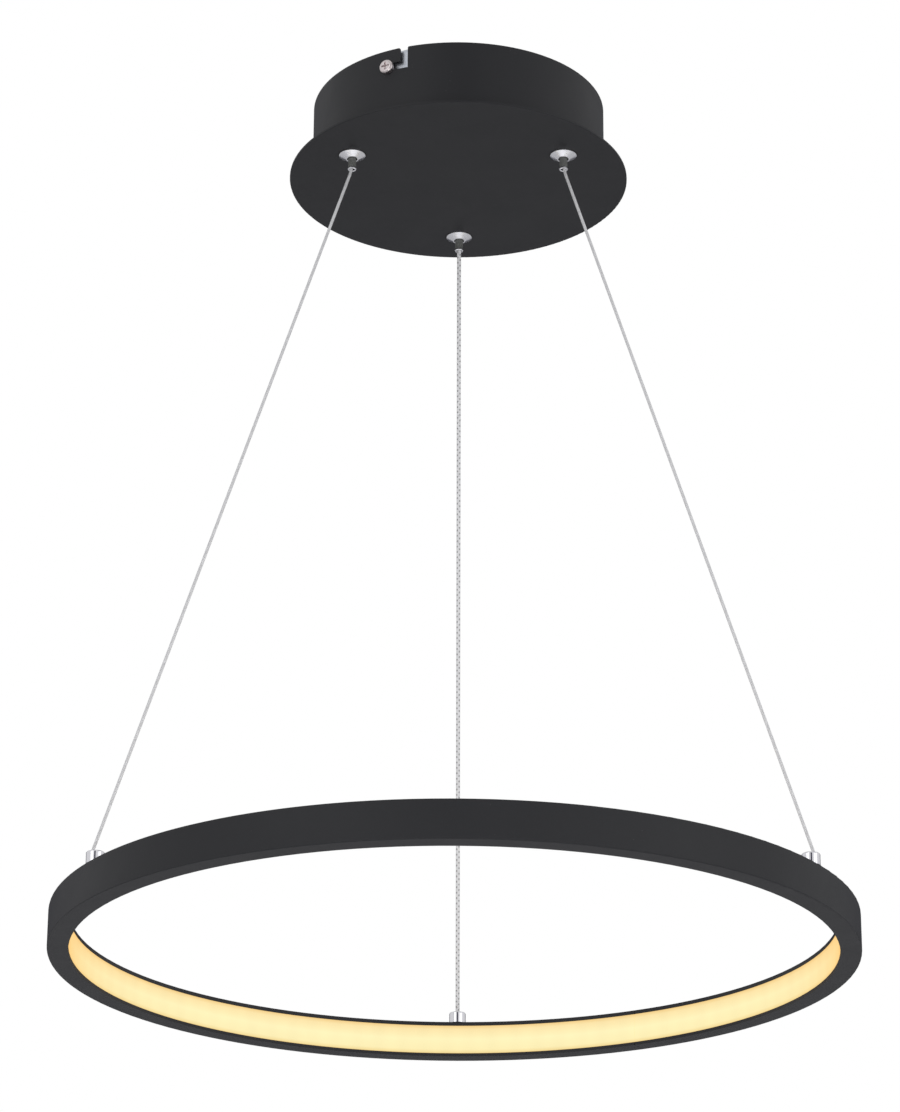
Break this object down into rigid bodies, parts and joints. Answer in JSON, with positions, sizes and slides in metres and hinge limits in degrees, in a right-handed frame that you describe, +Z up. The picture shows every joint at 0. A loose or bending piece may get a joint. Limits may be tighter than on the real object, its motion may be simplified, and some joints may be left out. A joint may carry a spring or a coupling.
{
  "type": "led ring pendant light",
  "caption": "Matte black ring pendant light, lit on its inner face, hung on thin cords from a round canopy with a turn-to-lock ceiling bracket.",
  "frame": {"origin": "centre of the ceiling bracket's top face, in the ceiling's plane", "axes": "+Z up to the ceiling, the ring hangs towards -Z; -Y is the pictured front, with one cord at the back on +Y"},
  "size_m": [0.38, 0.38, 0.448],
  "materials": {
    "zinc_steel": "bright zinc-plated sheet, faint grain",
    "steel_fastener": "nickel-plated steel",
    "black_paint": "matte black powder coat",
    "chrome": "polished plating",
    "nickel_brass": "nickel-washed brass",
    "black_sleeve": "black oxide, ribbed",
    "spring_steel": "drawn wire",
    "crimp_copper": "tinned copper crimp",
    "cord_jacket": "clear grey jacket over twisted wire",
    "steel_rope": "twisted fine steel strands, clear jacket",
    "diffuser": "opal silicone, lit warm from behind",
    "strip_board": "white flexible board",
    "led": "phosphor under clear resin",
    "aluminium_bar": "mill finish",
    "nylon": "moulded black nylon",
    "brass_lug": "stamped brass",
    "driver_plastic": "moulded white, fine texture",
    "circuit_board": "green solder mask",
    "transformer_tape": "yellow tape wrap",
    "ferrite": "dark sintered core",
    "capacitor_can": "sleeved can",
    "block_plastic": "moulded white",
    "brass_screw": "machined brass",
    "lead_insulation": "flexible insulation"
  },
  "bodies": {
    "bracket": {"ceiling_bracket": "zinc_steel", "earth_screw": "steel_fastener", "earth_washer": "steel_fastener"},
    "front_screw": {"front_lock_screw": "steel_fastener"},
    "rear_screw": {"rear_lock_screw": "steel_fastener"},
    "canopy": {"canopy_housing": "black_paint", "canopy_plate": "black_paint", "driver_case": "driver_plastic", "driver_cover": "driver_plastic", "driver_board": "circuit_board", "driver_transformer": "transformer_tape", "driver_choke": "ferrite", "driver_capacitors": "capacitor_can", "terminal_block": "block_plastic", "terminal_block_screws": "brass_screw", "plate_studs": "steel_fastener", "stud_nuts": "steel_fastener", "output_lead_left": "lead_insulation", "output_lead_right": "lead_insulation", "input_leads": "lead_insulation", "gripper_cap_left": "chrome", "gripper_body_left": "nickel_brass", "gripper_spring_left": "spring_steel", "cord_stop_left": "crimp_copper", "cord_left": "cord_jacket", "gripper_cap_right": "chrome", "gripper_body_right": "nickel_brass", "gripper_spring_right": "spring_steel", "cord_stop_right": "crimp_copper", "cord_right": "cord_jacket", "gripper_cap_back": "chrome", "gripper_body_back": "nickel_brass", "gripper_spring_back": "spring_steel", "cord_stop_back": "crimp_copper", "cord_back": "steel_rope"},
    "ring": {"ring_profile": "black_paint", "ring_diffuser": "diffuser", "led_strip": "strip_board", "led_chips": "led", "ring_joint_bar": "aluminium_bar", "ring_joint_screws": "steel_fastener", "terminal_bushes": "nylon", "terminal_washers": "nylon", "terminal_lugs": "brass_lug", "terminal_nuts": "steel_fastener", "cord_terminal_left": "chrome", "cord_terminal_right": "chrome", "cord_terminal_back": "chrome"},
    "left_plunger": {"plunger_left": "black_sleeve", "plunger_tip_left": "chrome", "gripper_balls_left": "chrome"},
    "right_plunger": {"plunger_right": "black_sleeve", "plunger_tip_right": "chrome", "gripper_balls_right": "chrome"},
    "back_plunger": {"plunger_back": "black_sleeve", "plunger_tip_back": "chrome", "gripper_balls_back": "chrome"}
  },
  "joints": [
    {"name": "canopy_turn", "type": "hinge", "parent": "bracket", "child": "canopy", "pos_m": [0, 0, 0], "axis": [0, 0, 1], "range_deg": [-7, 0]},
    {"name": "front_screw_turn", "type": "hinge", "parent": "bracket", "child": "front_screw", "pos_m": [-0.03474, -0.06534, -0.0098], "axis": [-0.4695, -0.8829, 0], "continuous": true},
    {"name": "rear_screw_turn", "type": "hinge", "parent": "bracket", "child": "rear_screw", "pos_m": [0.03474, 0.06534, -0.0098], "axis": [0.4695, 0.8829, 0], "continuous": true},
    {"name": "ring_height", "type": "slide", "parent": "canopy", "child": "ring", "axis": [0, 0, 1], "range_m": [0, 0.2], "deforming": ["cord_left", "cord_right", "cord_back"]},
    {"name": "left_plunger_push", "type": "slide", "parent": "canopy", "child": "left_plunger", "axis": [0, 0, 1], "range_m": [0, 0.0025], "stiffness_N_per_m": 300, "springref_m": -0.003, "deforming": ["gripper_spring_left"]},
    {"name": "right_plunger_push", "type": "slide", "parent": "canopy", "child": "right_plunger", "axis": [0, 0, 1], "range_m": [0, 0.0025], "stiffness_N_per_m": 300, "springref_m": -0.003, "deforming": ["gripper_spring_right"]},
    {"name": "back_plunger_push", "type": "slide", "parent": "canopy", "child": "back_plunger", "axis": [0, 0, 1], "range_m": [0, 0.0025], "stiffness_N_per_m": 300, "springref_m": -0.003, "deforming": ["gripper_spring_back"]}
  ]
}
